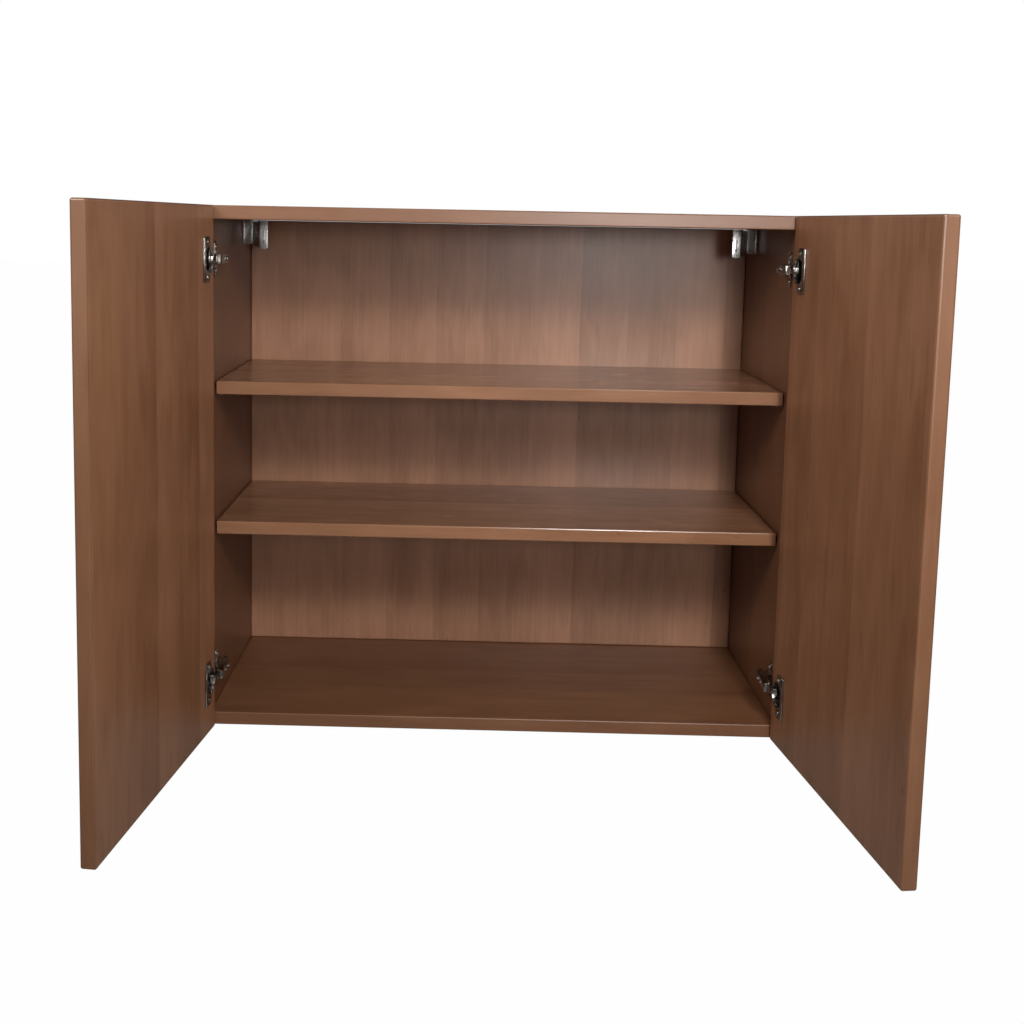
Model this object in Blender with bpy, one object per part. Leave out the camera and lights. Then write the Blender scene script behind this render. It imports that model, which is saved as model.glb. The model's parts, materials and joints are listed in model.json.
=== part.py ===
# Hanging wall cabinet: laminated boards, two doors on concealed cup hinges, two loose shelves.
# Metres, +Z up. The front faces -Y; the origin is the middle of the back, on the wall plane.
import math

import bmesh
import bpy
from mathutils import Matrix, Vector

MM = 0.001

# Carcass
WIDTH = 800 * MM
HEIGHT = 700 * MM
DEPTH = 336 * MM
BOARD = 18 * MM
JOINT_GAP = 0.3 * MM
EDGE_ROUNDING = 1.5 * MM

# Shelves, heights from the underside of the cabinet
SHELF_TOPS = {"upper": 466 * MM, "lower": 274 * MM}
SHELF_SETBACK = 35 * MM
SHELF_END_GAP = 2 * MM
SHELF_BACK_GAP = 2 * MM
PIN_RADIUS = 2.5 * MM
PIN_DEPTH = 8 * MM
PIN_REACH = 7 * MM
PIN_COLLAR_RADIUS = 4 * MM
PIN_COLLAR = 1.2 * MM
PIN_SETBACKS = {"front": 72 * MM, "rear": 281 * MM}
HOLE_CLEARANCE = 0.3 * MM

# Doors
DOOR_REVEAL = 0.5 * MM
DOOR_MIDDLE_GAP = 3 * MM
DOOR_FACE_GAP = 2 * MM
DOOR_ROUNDING = 2.5 * MM
DOOR_OPENING = math.radians(96.6)

# Hinges. Across the cabinet: x from the side panel's inner face, y from its front edge.
# On a door: u from its hinge edge, v from its inner face into the board.
HINGE_INSET = 70 * MM
LINK_SWING = math.radians(43)
ARM_PIVOT = Vector((9.5 * MM, 4.25 * MM))
CUP_PIVOT = Vector((10 * MM, 3 * MM))
PIVOT_RADIUS = 1.25 * MM
CUP_CENTRE_U = 22.5 * MM
CUP_RADIUS = 17.2 * MM
CUP_WALL = 1 * MM
CUP_DEPTH = 11.5 * MM
CUP_SEGMENTS = 40
POCKET_DEPTH = 12 * MM
FLANGE = 1.2 * MM
FLANGE_RIM = 1.2 * MM
WING_STEP = 0.1 * MM
WING_FROM_U = 20 * MM
WING_TO_U = 38 * MM
WING_LENGTH = 59 * MM
WING_CORNER = 5 * MM
CUP_SCREW_U = 28 * MM
CUP_SCREW_SPACING = 45 * MM

ARM_WIDTH = 11.6 * MM
ARM_SHEET = 1.1 * MM
ARM_TOP = 17 * MM
ARM_TAIL_TOP = 12 * MM
ARM_FOOT = 6.4 * MM
ARM_NOSE = 0.4 * MM
ARM_CHAMFER = 1.6 * MM
ARM_SLOPE_FROM = 46 * MM
ARM_TAIL = 60 * MM
NOSE_LIP_FROM = 11.6 * MM

LINK_SHEET = 1.4 * MM
LINK_WIDTH = 8 * MM
LINK_STEPS = 10
EYE_RADIUS = 2.6 * MM
EYE_BORE = 1.55 * MM
# Control points of the link's bow from the cup's eye to the arm's: share of the way, rise over it
LINK_BOW = ((0, 1.82 * MM), (0.06, 8 * MM), (0.56, 6 * MM), (0.96, 0.26 * MM))

PLATE_LINE = 37 * MM
PLATE_BLOCK_LENGTH = 36 * MM
PLATE_BLOCK_WIDTH = 13 * MM
PLATE_BLOCK_TOP = 6 * MM
PLATE_SHEET = 1.5 * MM
PLATE_WING_WIDTH = 14 * MM
PLATE_WING_LENGTH = 48 * MM
PLATE_WING_CORNER = 5.6 * MM
PLATE_SCREW_SPACING = 32 * MM

# Screws: shank radius, head radius, head height
WOOD_SCREW = (1.6 * MM, 3.2 * MM, 1.4 * MM)
CLAMP_SCREW = (1.9 * MM, 3.4 * MM, 2.0 * MM)
WOOD_SCREW_BITE = 10 * MM

# Pressed hangers in the top corners: x from the side panel, y from the front edge
HANGER_SHEET = 2.4 * MM
HANGER_OUTER_LEAF = (2 * MM, 16.5 * MM)
HANGER_INNER_LEAF = (31 * MM, 42 * MM)
HANGER_OUTER_Y = 240 * MM
HANGER_INNER_Y = 218 * MM
HANGER_OUTER_DROP = 36 * MM
HANGER_INNER_DROP = 42 * MM
HANGER_CORNER = 4 * MM
HANGER_TAB = (13.6 * MM, 26 * MM)
HANGER_TAB_TO_Y = 264 * MM
HANGER_SCREW_Y = 254 * MM

SIDES = {"left": -1, "right": 1}
INNER_X = WIDTH / 2 - BOARD
FRONT_Y = -DEPTH
DOOR_WIDTH = WIDTH / 2 - DOOR_REVEAL - DOOR_MIDDLE_GAP / 2
HINGE_HEIGHTS = {"top": HEIGHT / 2 - HINGE_INSET, "bottom": HINGE_INSET - HEIGHT / 2}


def make_material(name, colour, roughness, metallic=0.0):
    material = bpy.data.materials.new(name)
    material.use_nodes = True
    shader = material.node_tree.nodes["Principled BSDF"]
    shader.inputs["Base Color"].default_value = (*colour, 1)
    shader.inputs["Roughness"].default_value = roughness
    shader.inputs["Metallic"].default_value = metallic
    return material


def add_object(name, shape, material, location=(0, 0, 0), parent=None):
    bmesh.ops.recalc_face_normals(shape, faces=shape.faces)
    mesh = bpy.data.meshes.new(name)
    shape.to_mesh(mesh)
    shape.free()
    mesh.shade_smooth()
    mesh.set_sharp_from_angle(angle=math.radians(35))
    mesh.materials.append(material)
    part = bpy.data.objects.new(name, mesh)
    part.location = location
    part.parent = parent
    bpy.context.scene.collection.objects.link(part)
    return part


def add_box(shape, low, high):
    low, high = Vector(low), Vector(high)
    place = Matrix.Translation((low + high) / 2) @ Matrix.Diagonal((*(high - low), 1))
    bmesh.ops.create_cube(shape, size=1, matrix=place)


def add_cylinder(shape, radius, start, end, segments=24):
    start, end = Vector(start), Vector(end)
    turn = Vector((0, 0, 1)).rotation_difference(end - start).to_matrix().to_4x4()
    place = Matrix.Translation((start + end) / 2) @ turn
    bmesh.ops.create_cone(shape, cap_ends=True, segments=segments, radius1=radius, radius2=radius,
                          depth=(end - start).length, matrix=place)


def add_prism(shape, outline, low, high, lift):
    """Extrude a closed outline; lift turns (a, b, height) into a 3-D point."""
    bottom = [shape.verts.new(lift(a, b, low)) for a, b in outline]
    top = [shape.verts.new(lift(a, b, high)) for a, b in outline]
    shape.faces.new(bottom[::-1])
    shape.faces.new(top)
    for i in range(len(outline)):
        j = (i + 1) % len(outline)
        shape.faces.new((bottom[i], bottom[j], top[j], top[i]))


def add_turned(shape, profile, place, segments=12):
    """Turn (radius, height) pairs, closed on the axis at both ends, about local Z."""
    rings = []
    for radius, height in profile[1:-1]:
        angles = [2 * math.pi * i / segments for i in range(segments)]
        rings.append([shape.verts.new(place @ Vector((radius * math.cos(a), radius * math.sin(a), height)))
                      for a in angles])
    ends = [shape.verts.new(place @ Vector((0, 0, height))) for _, height in (profile[0], profile[-1])]
    for i in range(segments):
        j = (i + 1) % segments
        shape.faces.new((ends[0], rings[0][j], rings[0][i]))
        shape.faces.new((ends[1], rings[-1][i], rings[-1][j]))
        for low, high in zip(rings, rings[1:]):
            shape.faces.new((low[i], low[j], high[j], high[i]))


def along_z(x, y, z):
    return x, y, z


def along_y(x, z, y):
    return x, y, z


def along_x(y, z, x):
    return x, y, z


def rounded_corner(centre, radius, start, end, steps=4):
    """Points on an arc about centre, from the start angle to the end angle in degrees."""
    angles = [math.radians(start + (end - start) * i / steps) for i in range(steps + 1)]
    return [(centre[0] + radius * math.cos(a), centre[1] + radius * math.sin(a)) for a in angles]


def rounded_rectangle(low, high, radius):
    (x0, y0), (x1, y1) = low, high
    return (rounded_corner((x0 + radius, y0 + radius), radius, 180, 270)
            + rounded_corner((x1 - radius, y0 + radius), radius, 270, 360)
            + rounded_corner((x1 - radius, y1 - radius), radius, 0, 90)
            + rounded_corner((x0 + radius, y1 - radius), radius, 90, 180))


def band(points, thickness):
    """Outline of a strip of sheet whose middle line runs through the points."""
    left, right = [], []
    for i, point in enumerate(points):
        before = points[max(i - 1, 0)]
        after = points[min(i + 1, len(points) - 1)]
        into = (point - before).normalized() if i else (after - point).normalized()
        out = (after - point).normalized() if i < len(points) - 1 else into
        mitre = (into + out).normalized()
        normal = Vector((-mitre.y, mitre.x)) * (thickness / 2 / mitre.dot(out))
        left.append(tuple(point + normal))
        right.append(tuple(point - normal))
    return left + right[::-1]


def combine(part, operation, name, shape):
    """Hidden tool object, in the part's own frame, joined to or cut from the part."""
    tool = add_object(name, shape, part.data.materials[0], parent=part)
    tool.hide_render = True
    tool.display_type = "WIRE"
    step = part.modifiers.new(name, "BOOLEAN")
    step.operation = operation
    step.solver = "EXACT"
    step.object = tool


def round_edges(part, width, segments=2):
    step = part.modifiers.new("rounding", "BEVEL")
    step.width = width
    step.segments = segments
    step.limit_method = "ANGLE"


def add_board(name, low, high, material):
    low, high = Vector(low), Vector(high)
    shape = bmesh.new()
    add_box(shape, (low - high) / 2, (high - low) / 2)
    board = add_object(name, shape, material, (low + high) / 2)
    round_edges(board, EDGE_ROUNDING)
    return board


def mirrored(shape, side):
    """The right-hand pieces are mirror images of the left-hand ones."""
    if side > 0:
        bmesh.ops.scale(shape, vec=(-1, 1, 1), verts=shape.verts)
    return shape


def screw_profile(screw, bite):
    """Shank below zero, low domed head above it."""
    shank, head, height = screw
    return [(0, -bite), (shank * 0.4, -bite), (shank, -bite * 0.8), (shank, 0), (head, 0),
            (head, height * 0.45), (head * 0.75, height * 0.85), (head * 0.35, height), (0, height)]


def facing(point, direction):
    """Frame at point whose Z runs along direction."""
    turn = Vector((0, 0, 1)).rotation_difference(Vector(direction))
    return Matrix.Translation(point) @ turn.to_matrix().to_4x4()


def add_screw(name, screw, bite, point, direction, material, side, location=(0, 0, 0), parent=None):
    shape = bmesh.new()
    add_turned(shape, screw_profile(screw, bite), facing(point, direction))
    return add_object(name, mirrored(shape, side), material, location, parent)


def pin_places(shelf):
    height = SHELF_TOPS[shelf] - BOARD - JOINT_GAP - PIN_RADIUS - HEIGHT / 2
    return {row: (FRONT_Y + setback, height) for row, setback in PIN_SETBACKS.items()}


def build_carcass(laminate):
    half, inner = HEIGHT / 2, INNER_X - JOINT_GAP
    add_board("top_panel", (-inner, FRONT_Y, half - BOARD), (inner, 0, half), laminate)
    add_board("bottom_panel", (-inner, FRONT_Y, -half), (inner, 0, BOARD - half), laminate)
    back_half = half - BOARD - JOINT_GAP
    add_board("back_panel", (-inner, -BOARD, -back_half), (inner, 0, back_half), laminate)
    for name, side in SIDES.items():
        edges = sorted((side * INNER_X, side * WIDTH / 2))
        panel = add_board("side_panel_" + name, (edges[0], FRONT_Y, -half), (edges[1], 0, half), laminate)
        drill_side_panel(panel, name, side)
    drill_top_panel(bpy.data.objects["top_panel"])


def drill_side_panel(panel, name, side):
    """Blind holes for the shelf pins and for the hinge plates' screws."""
    shape = bmesh.new()
    face = side * INNER_X - panel.location.x
    holes = []
    for shelf in SHELF_TOPS:
        for y, z in pin_places(shelf).values():
            holes.append((y, z, PIN_RADIUS + HOLE_CLEARANCE, PIN_DEPTH + HOLE_CLEARANCE))
    for height in HINGE_HEIGHTS.values():
        for offset in (-PLATE_SCREW_SPACING / 2, PLATE_SCREW_SPACING / 2):
            holes.append((FRONT_Y + PLATE_LINE, height + offset, WOOD_SCREW[0] + HOLE_CLEARANCE,
                          WOOD_SCREW_BITE + HOLE_CLEARANCE))
    for y, z, radius, depth in holes:
        start = Vector((face - side * BOARD / 2, y - panel.location.y, z))
        add_cylinder(shape, radius, start, (face + side * depth, start.y, z), 16)
    combine(panel, "DIFFERENCE", "side_holes_" + name, shape)


def drill_top_panel(panel):
    """Blind holes in the underside for the hangers' screws."""
    shape = bmesh.new()
    for side in SIDES.values():
        x = side * (INNER_X - sum(HANGER_TAB) / 2)
        y = FRONT_Y + HANGER_SCREW_Y - panel.location.y
        add_cylinder(shape, WOOD_SCREW[0] + HOLE_CLEARANCE, (x, y, -BOARD),
                     (x, y, -BOARD / 2 + WOOD_SCREW_BITE + HOLE_CLEARANCE), 16)
    combine(panel, "DIFFERENCE", "top_holes", shape)


def build_shelves(laminate, steel):
    reach = INNER_X - SHELF_END_GAP
    for shelf, top in SHELF_TOPS.items():
        z = top - HEIGHT / 2
        add_board("shelf_" + shelf, (-reach, FRONT_Y + SHELF_SETBACK, z - BOARD),
                  (reach, -BOARD - SHELF_BACK_GAP, z), laminate)
        for side_name, side in SIDES.items():
            for row, (y, pin_z) in pin_places(shelf).items():
                build_pin("_".join(("pin", shelf, side_name, row)), side, y, pin_z, steel)


def build_pin(name, side, y, z, steel):
    """Turned pin: shank in the panel, collar against its face, peg under the shelf."""
    peg, tip = PIN_RADIUS, PIN_RADIUS * 0.8
    profile = [(0, -PIN_DEPTH), (tip, -PIN_DEPTH), (peg, -PIN_DEPTH * 0.9), (peg, JOINT_GAP),
               (PIN_COLLAR_RADIUS, JOINT_GAP), (PIN_COLLAR_RADIUS, PIN_COLLAR),
               (peg, PIN_COLLAR), (peg, PIN_REACH - MM / 2), (tip, PIN_REACH), (0, PIN_REACH)]
    shape = bmesh.new()
    add_turned(shape, profile, facing((0, 0, 0), (1, 0, 0)), 16)
    add_object(name, mirrored(shape, side), steel, (side * INNER_X, y, z))


def closed_cup_pivot():
    """The cup's pivot with the door shut, seen from the side panel's front inner corner."""
    return Vector((DOOR_REVEAL - BOARD + CUP_PIVOT.x, -DOOR_FACE_GAP - CUP_PIVOT.y))


def build_door(name, side, link, laminate):
    """The door's origin is its hinge axis, on the link's far eye; u runs along +X when shut."""
    shape = bmesh.new()
    add_box(shape, (-CUP_PIVOT.x, CUP_PIVOT.y - BOARD, -HEIGHT / 2),
            (DOOR_WIDTH - CUP_PIVOT.x, CUP_PIVOT.y, HEIGHT / 2))
    arm_to_cup = closed_cup_pivot() - ARM_PIVOT
    place = Vector((-side * arm_to_cup.x, arm_to_cup.y, -HINGE_HEIGHTS["top"]))
    door = add_object("door_" + name, mirrored(shape, side), laminate, place, link)
    door.rotation_euler.z = side * (DOOR_OPENING + LINK_SWING)
    round_edges(door, DOOR_ROUNDING, 3)
    pockets = bmesh.new()
    for height in HINGE_HEIGHTS.values():
        centre = door_point(CUP_CENTRE_U, 0, height)
        add_cylinder(pockets, CUP_RADIUS + HOLE_CLEARANCE, centre + Vector((0, BOARD, 0)),
                     centre - Vector((0, POCKET_DEPTH, 0)), CUP_SEGMENTS)
        for offset in (-CUP_SCREW_SPACING / 2, CUP_SCREW_SPACING / 2):
            hole = door_point(CUP_SCREW_U, 0, height + offset)
            add_cylinder(pockets, WOOD_SCREW[0] + HOLE_CLEARANCE, hole + Vector((0, BOARD, 0)),
                         hole - Vector((0, WOOD_SCREW_BITE + HOLE_CLEARANCE, 0)), 16)
    combine(door, "DIFFERENCE", "door_pockets_" + name, mirrored(pockets, side))
    return door


def door_point(u, v, z):
    """A point of the left door in the frame of its hinge axis."""
    return Vector((u - CUP_PIVOT.x, CUP_PIVOT.y - v, z))


def build_cup(prefix, side, height, door, nickel):
    """Pressed cup with its screw flange and the pin that the link turns on."""
    centre = door_point(CUP_CENTRE_U, 0, height)
    face = centre.y + JOINT_GAP
    shape = bmesh.new()
    add_cylinder(shape, CUP_RADIUS + FLANGE_RIM, (centre.x, face, height),
                 (centre.x, face + FLANGE, height), CUP_SEGMENTS)
    cup = add_object(prefix + "_cup", mirrored(shape, side), nickel, parent=door)
    wings = bmesh.new()
    low, high = door_point(WING_FROM_U, 0, height), door_point(WING_TO_U, 0, height)
    outline = rounded_rectangle((low.x, height - WING_LENGTH / 2), (high.x, height + WING_LENGTH / 2),
                                WING_CORNER)
    add_prism(wings, outline, face + WING_STEP, face + FLANGE + WING_STEP, along_y)
    combine(cup, "UNION", prefix + "_cup_wings", mirrored(wings, side))
    bowl = bmesh.new()
    add_cylinder(bowl, CUP_RADIUS, (centre.x, face + FLANGE / 2, height),
                 (centre.x, centre.y - CUP_DEPTH, height), CUP_SEGMENTS)
    combine(cup, "UNION", prefix + "_cup_bowl", mirrored(bowl, side))
    hollow = bmesh.new()
    add_cylinder(hollow, CUP_RADIUS - CUP_WALL, (centre.x, face + BOARD, height),
                 (centre.x, centre.y - CUP_DEPTH + CUP_WALL, height), CUP_SEGMENTS)
    for offset in (-CUP_SCREW_SPACING / 2, CUP_SCREW_SPACING / 2):
        hole = door_point(CUP_SCREW_U, 0, height + offset)
        add_cylinder(hollow, WOOD_SCREW[0] + HOLE_CLEARANCE, hole - Vector((0, BOARD, 0)),
                     hole + Vector((0, BOARD, 0)), 16)
    combine(cup, "DIFFERENCE", prefix + "_cup_hollow", mirrored(hollow, side))
    pin = bmesh.new()
    chord = math.sqrt(CUP_RADIUS ** 2 - (CUP_CENTRE_U - CUP_PIVOT.x + PIVOT_RADIUS) ** 2)
    add_cylinder(pin, PIVOT_RADIUS, (0, 0, height - chord), (0, 0, height + chord), 16)
    combine(cup, "UNION", prefix + "_cup_pin", mirrored(pin, side))
    for label, offset in (("low", -CUP_SCREW_SPACING / 2), ("high", CUP_SCREW_SPACING / 2)):
        seat = door_point(CUP_SCREW_U, -(FLANGE + WING_STEP + 2 * JOINT_GAP), height + offset)
        add_screw(f"{prefix}_cup_screw_{label}", WOOD_SCREW, WOOD_SCREW_BITE, seat, (0, 1, 0), nickel, side,
                  parent=door)


def arm_outline():
    """Side view of the arm in (x, y), its nose chamfered and its tail sloping to the panel."""
    return [(ARM_FOOT, ARM_TAIL), (ARM_FOOT, ARM_NOSE + ARM_CHAMFER), (ARM_FOOT + ARM_CHAMFER, ARM_NOSE),
            (ARM_TOP - ARM_CHAMFER, ARM_NOSE), (ARM_TOP, ARM_NOSE + ARM_CHAMFER), (ARM_TOP, ARM_SLOPE_FROM),
            (ARM_TAIL_TOP, ARM_TAIL)]


def arm_hollow_outline():
    """The hollow under the arm's sheet, open toward the side panel and at the tail."""
    nose, top, beyond = ARM_NOSE + ARM_SHEET, ARM_TOP - ARM_SHEET, ARM_TAIL + BOARD
    return [(-BOARD, beyond), (-BOARD, nose), (top, nose), (top, ARM_SLOPE_FROM),
            (ARM_TAIL_TOP - ARM_SHEET, ARM_TAIL), (ARM_TAIL_TOP - ARM_SHEET, beyond)]


def build_arm(prefix, side, location, nickel):
    """Channel-shaped arm, open toward the side panel, with the pivot pin across its nose."""
    half = ARM_WIDTH / 2
    shape = bmesh.new()
    add_prism(shape, arm_outline(), -half, half, along_z)
    arm = add_object(prefix + "_arm", mirrored(shape, side), nickel, location)
    hollow = bmesh.new()
    add_prism(hollow, arm_hollow_outline(), ARM_SHEET - half, half - ARM_SHEET, along_z)
    combine(arm, "DIFFERENCE", prefix + "_arm_hollow", mirrored(hollow, side))
    mouth = bmesh.new()
    add_box(mouth, (-BOARD, -BOARD, ARM_SHEET - half),
            (NOSE_LIP_FROM, ARM_NOSE + 2 * ARM_SHEET, half - ARM_SHEET))
    combine(arm, "DIFFERENCE", prefix + "_arm_mouth", mirrored(mouth, side))
    bore = bmesh.new()
    add_cylinder(bore, CLAMP_SCREW[0] + HOLE_CLEARANCE, (ARM_FOOT, PLATE_LINE, 0),
                 (ARM_TOP + BOARD, PLATE_LINE, 0), 16)
    combine(arm, "DIFFERENCE", prefix + "_arm_bore", mirrored(bore, side))
    pin = bmesh.new()
    reach = half - ARM_SHEET / 2
    add_cylinder(pin, PIVOT_RADIUS, (*ARM_PIVOT, -reach), (*ARM_PIVOT, reach), 16)
    combine(arm, "UNION", prefix + "_arm_pin", mirrored(pin, side))
    seat = (ARM_TOP + JOINT_GAP, PLATE_LINE, 0)
    add_screw(prefix + "_clamp_screw", CLAMP_SCREW, ARM_TOP - PLATE_BLOCK_TOP / 2, seat, (1, 0, 0), nickel,
              side, location)


def build_plate(prefix, side, location, nickel):
    """Cross-shaped mounting plate on the side panel, with two wood screws."""
    shape = bmesh.new()
    long, wide = PLATE_BLOCK_LENGTH / 2, PLATE_BLOCK_WIDTH / 2
    add_box(shape, (JOINT_GAP, PLATE_LINE - long, -wide), (PLATE_BLOCK_TOP, PLATE_LINE + long, wide))
    plate = add_object(prefix + "_plate", mirrored(shape, side), nickel, location)
    round_edges(plate, MM / 2, 1)
    wings = bmesh.new()
    half_width, half_length = PLATE_WING_WIDTH / 2, PLATE_WING_LENGTH / 2
    outline = rounded_rectangle((PLATE_LINE - half_width, -half_length),
                                (PLATE_LINE + half_width, half_length), PLATE_WING_CORNER)
    add_prism(wings, outline, JOINT_GAP, JOINT_GAP + PLATE_SHEET, along_x)
    combine(plate, "UNION", prefix + "_plate_wings", mirrored(wings, side))
    holes = bmesh.new()
    add_cylinder(holes, CLAMP_SCREW[0] + HOLE_CLEARANCE, (PLATE_BLOCK_TOP / 3, PLATE_LINE, 0),
                 (PLATE_BLOCK_TOP + BOARD, PLATE_LINE, 0), 16)
    for offset in (-PLATE_SCREW_SPACING / 2, PLATE_SCREW_SPACING / 2):
        add_cylinder(holes, WOOD_SCREW[0] + HOLE_CLEARANCE, (-BOARD, PLATE_LINE, offset),
                     (BOARD, PLATE_LINE, offset), 16)
    combine(plate, "DIFFERENCE", prefix + "_plate_holes", mirrored(holes, side))
    for label, offset in (("low", -PLATE_SCREW_SPACING / 2), ("high", PLATE_SCREW_SPACING / 2)):
        seat = (PLATE_SHEET + 2 * JOINT_GAP, PLATE_LINE, offset)
        add_screw(f"{prefix}_plate_screw_{label}", WOOD_SCREW, WOOD_SCREW_BITE, seat, (1, 0, 0), nickel, side,
                  location)


def bow_point(start, end, t):
    """Point on the bowed middle line of the link, which arches over the cup's rim."""
    along = (end - start).normalized()
    over = Vector((along.y, -along.x))
    length = (end - start).length
    controls = [start + along * length * share + over * rise for share, rise in LINK_BOW]
    weights = ((1 - t) ** 3, 3 * t * (1 - t) ** 2, 3 * t * t * (1 - t), t ** 3)
    return sum((control * weight for control, weight in zip(controls, weights)), Vector((0, 0)))


def build_link(prefix, side, height, nickel):
    """Bowed link: origin on the arm's pin, far eye on the cup's pin; drawn with the door shut."""
    cup_eye = closed_cup_pivot() - ARM_PIVOT
    half = LINK_WIDTH / 2
    shape = bmesh.new()
    middle = [bow_point(cup_eye, Vector((0, 0)), i / LINK_STEPS) for i in range(LINK_STEPS + 1)]
    add_prism(shape, band(middle, LINK_SHEET), -half, half, along_z)
    location = (side * (INNER_X - ARM_PIVOT.x), FRONT_Y + ARM_PIVOT.y, height)
    link = add_object(prefix + "_link", mirrored(shape, side), nickel, location)
    link.rotation_euler.z = -side * LINK_SWING
    for label, centre in (("near", Vector((0, 0))), ("far", cup_eye)):
        eye = bmesh.new()
        add_cylinder(eye, EYE_RADIUS, (*centre, -half), (*centre, half))
        combine(link, "UNION", f"{prefix}_eye_{label}", mirrored(eye, side))
    for label, centre in (("near", Vector((0, 0))), ("far", cup_eye)):
        bore = bmesh.new()
        add_cylinder(bore, EYE_BORE, (*centre, -LINK_WIDTH), (*centre, LINK_WIDTH), 16)
        combine(link, "DIFFERENCE", f"{prefix}_bore_{label}", mirrored(bore, side))
    return link


def build_hinges_and_doors(laminate, nickel):
    for side_name, side in SIDES.items():
        links = {}
        for place, height in HINGE_HEIGHTS.items():
            prefix = f"hinge_{side_name}_{place}"
            location = (side * INNER_X, FRONT_Y, height)
            build_plate(prefix, side, location, nickel)
            build_arm(prefix, side, location, nickel)
            links[place] = build_link(prefix, side, height, nickel)
        door = build_door(side_name, side, links["top"], laminate)
        for place, height in HINGE_HEIGHTS.items():
            build_cup(f"hinge_{side_name}_{place}", side, height, door, nickel)


def hanger_elevation():
    """Front view of a hanger in (x, z below the top panel), its inner leaf deeper and rounded."""
    (outer_low, outer_high), (inner_low, inner_high) = HANGER_OUTER_LEAF, HANGER_INNER_LEAF
    low, nook = -HANGER_INNER_DROP, HANGER_CORNER / 2
    return ([(outer_low, -JOINT_GAP), (outer_low, -HANGER_OUTER_DROP), (outer_high, -HANGER_OUTER_DROP),
             (inner_low - HANGER_CORNER, low + nook)]
            + rounded_corner((inner_low + nook, low + nook), nook, 210, 270)
            + rounded_corner((inner_high - HANGER_CORNER, low + HANGER_CORNER), HANGER_CORNER, 270, 360)
            + [(inner_high, -JOINT_GAP)])


def build_hanger(name, side, steel):
    """One pressed strip: outer leaf, slanting web, inner leaf, and a tab screwed to the top panel."""
    outer, inner = HANGER_OUTER_LEAF, HANGER_INNER_LEAF
    plan = [Vector((outer[0], HANGER_OUTER_Y)), Vector((outer[1], HANGER_OUTER_Y)),
            Vector((inner[0], HANGER_INNER_Y)), Vector((inner[1], HANGER_INNER_Y))]
    strip = bmesh.new()
    add_prism(strip, band(plan, HANGER_SHEET), -2 * HANGER_INNER_DROP, HANGER_INNER_DROP, along_z)
    location = (side * INNER_X, FRONT_Y, HEIGHT / 2 - BOARD)
    hanger = add_object("hanger_" + name, mirrored(strip, side), steel, location)
    front = bmesh.new()
    add_prism(front, hanger_elevation(), HANGER_INNER_Y - BOARD, HANGER_OUTER_Y + BOARD, along_y)
    combine(hanger, "INTERSECT", "hanger_front_" + name, mirrored(front, side))
    tab = bmesh.new()
    tab_low, tab_high = -JOINT_GAP - HANGER_SHEET, -JOINT_GAP
    add_box(tab, (HANGER_TAB[0], HANGER_INNER_Y + HANGER_SHEET, tab_low),
            (HANGER_TAB[1], HANGER_TAB_TO_Y, tab_high))
    combine(hanger, "UNION", "hanger_tab_" + name, mirrored(tab, side))
    x = sum(HANGER_TAB) / 2
    hole = bmesh.new()
    add_cylinder(hole, WOOD_SCREW[0] + HOLE_CLEARANCE, (x, HANGER_SCREW_Y, -BOARD),
                 (x, HANGER_SCREW_Y, BOARD), 16)
    combine(hanger, "DIFFERENCE", "hanger_hole_" + name, mirrored(hole, side))
    seat = (x, HANGER_SCREW_Y, tab_low - JOINT_GAP)
    add_screw("hanger_screw_" + name, WOOD_SCREW, WOOD_SCREW_BITE, seat, (0, 0, -1), steel, side, location)


def main():
    for leftover in list(bpy.data.objects):
        bpy.data.objects.remove(leftover)
    laminate = make_material("wood_laminate", (0.18, 0.082, 0.038), 0.42)
    nickel = make_material("nickel_plated_steel", (0.55, 0.53, 0.50), 0.28, 1.0)
    steel = make_material("zinc_plated_steel", (0.52, 0.51, 0.49), 0.38, 1.0)
    build_carcass(laminate)
    build_shelves(laminate, steel)
    build_hinges_and_doors(laminate, nickel)
    for name, side in SIDES.items():
        build_hanger(name, side, steel)


main()
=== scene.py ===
import json
import math

import bmesh
import bpy
from mathutils import Matrix, Vector


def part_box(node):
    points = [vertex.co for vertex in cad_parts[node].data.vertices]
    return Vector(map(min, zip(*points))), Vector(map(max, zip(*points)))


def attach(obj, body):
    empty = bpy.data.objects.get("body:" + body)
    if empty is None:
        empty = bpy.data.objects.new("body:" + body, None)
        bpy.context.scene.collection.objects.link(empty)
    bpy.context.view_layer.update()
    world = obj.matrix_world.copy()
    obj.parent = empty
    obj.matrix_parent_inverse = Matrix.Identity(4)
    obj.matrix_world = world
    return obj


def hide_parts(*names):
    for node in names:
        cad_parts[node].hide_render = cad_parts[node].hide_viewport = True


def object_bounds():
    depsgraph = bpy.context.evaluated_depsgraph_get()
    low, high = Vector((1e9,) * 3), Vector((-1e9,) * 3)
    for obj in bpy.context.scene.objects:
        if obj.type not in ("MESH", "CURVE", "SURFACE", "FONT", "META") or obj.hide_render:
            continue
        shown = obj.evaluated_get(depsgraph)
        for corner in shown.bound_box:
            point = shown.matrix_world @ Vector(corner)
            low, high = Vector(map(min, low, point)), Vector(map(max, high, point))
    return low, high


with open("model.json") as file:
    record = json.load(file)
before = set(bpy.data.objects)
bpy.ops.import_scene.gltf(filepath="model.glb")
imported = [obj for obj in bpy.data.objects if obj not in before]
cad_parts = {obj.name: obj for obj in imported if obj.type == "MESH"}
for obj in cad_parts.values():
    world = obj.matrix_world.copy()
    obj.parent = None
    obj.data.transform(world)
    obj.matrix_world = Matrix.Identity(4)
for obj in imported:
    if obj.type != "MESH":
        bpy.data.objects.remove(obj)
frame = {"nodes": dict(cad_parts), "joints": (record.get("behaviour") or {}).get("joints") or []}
parts = frame["nodes"]
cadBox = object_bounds()
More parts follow.
